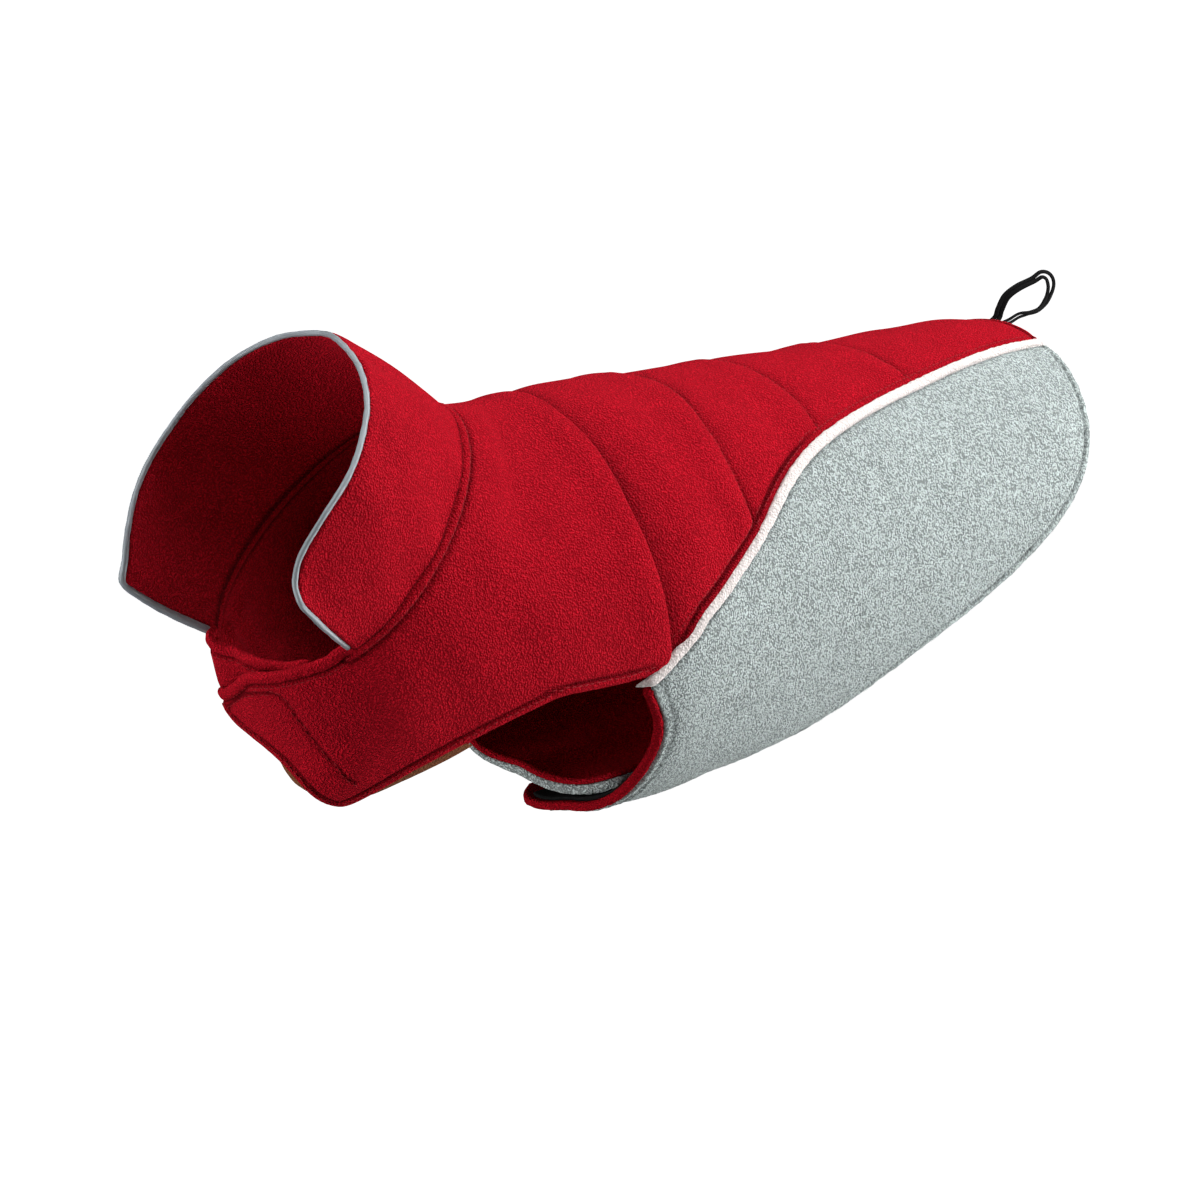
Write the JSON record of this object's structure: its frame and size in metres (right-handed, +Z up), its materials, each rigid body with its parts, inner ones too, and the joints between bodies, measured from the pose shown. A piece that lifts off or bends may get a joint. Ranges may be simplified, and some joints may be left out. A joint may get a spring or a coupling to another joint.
{
  "type": "dog winter coat",
  "caption": "Quilted fleece dog coat in its worn form: standing collar, chest and belly flaps, long-pile side panels, open neck, legs and rear, elastic tail loop.",
  "frame": {"origin": "inner face of the back panel on the spine, halfway from nape seam to tail hem", "axes": "-Y towards the dog's nose, +Y towards its tail, +X to its left side, +Z up from its back"},
  "size_m": [0.171, 0.5475, 0.2231],
  "materials": {
    "red_fleece": "crimson fleece, short nap",
    "red_lining": "crimson fleece, short nap",
    "grey_pile": "pale grey long-pile fleece",
    "white_piping": "off-white woven cloth over cord",
    "reflective_piping": "grey retroreflective tape over cord",
    "loop_patch": "brown brushed loop",
    "hook_tape": "black hook tape",
    "elastic": "black ribbed elastic"
  },
  "bodies": {
    "root": {"back_panel": "red_fleece", "yoke": "red_fleece", "collar": "red_fleece", "collar_piping": "reflective_piping", "side_panel_left": "grey_pile", "side_panel_right": "grey_pile", "side_lining_left": "red_lining", "side_lining_right": "red_lining", "side_piping_left": "white_piping", "side_piping_right": "white_piping", "neck_band_left": "red_fleece", "neck_band_right": "red_fleece", "chest_loop_patch": "loop_patch", "belly_loop_patch": "loop_patch", "belly_hook_tape": "hook_tape", "tail_loop": "elastic"}
  },
  "joints": []
}
